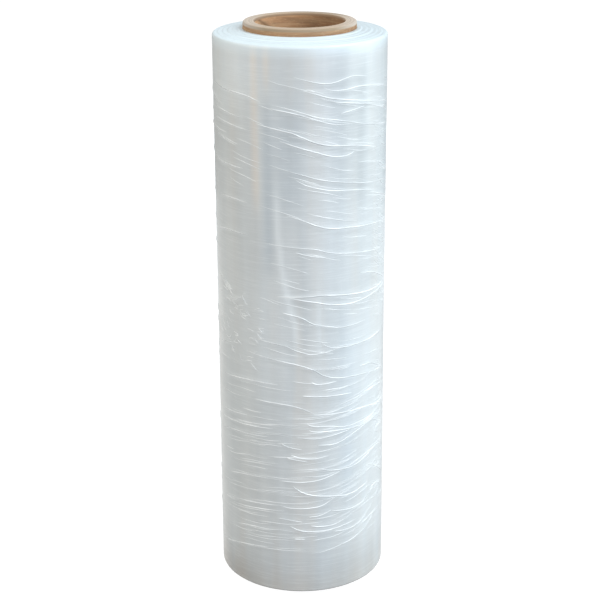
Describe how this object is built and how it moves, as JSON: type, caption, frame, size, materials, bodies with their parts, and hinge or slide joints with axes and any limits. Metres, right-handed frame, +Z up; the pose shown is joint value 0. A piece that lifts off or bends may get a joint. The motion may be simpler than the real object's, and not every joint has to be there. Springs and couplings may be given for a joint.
{
  "type": "stretch wrap roll",
  "caption": "Upright hand roll of clear stretch wrap film wound on a paperboard core, creased in its last turns, with its edges stepped at both ends.",
  "frame": {"origin": "centre of the ring that the core stands on", "axes": "+Z up along the core's axis, -Y the side seen in the picture, +X to the picture's right"},
  "size_m": [0.1482, 0.1484, 0.512],
  "materials": {
    "paperboard": "matte",
    "stretch_film": "gloss"
  },
  "bodies": {
    "root": {"core": "paperboard", "film": "stretch_film"}
  },
  "joints": []
}
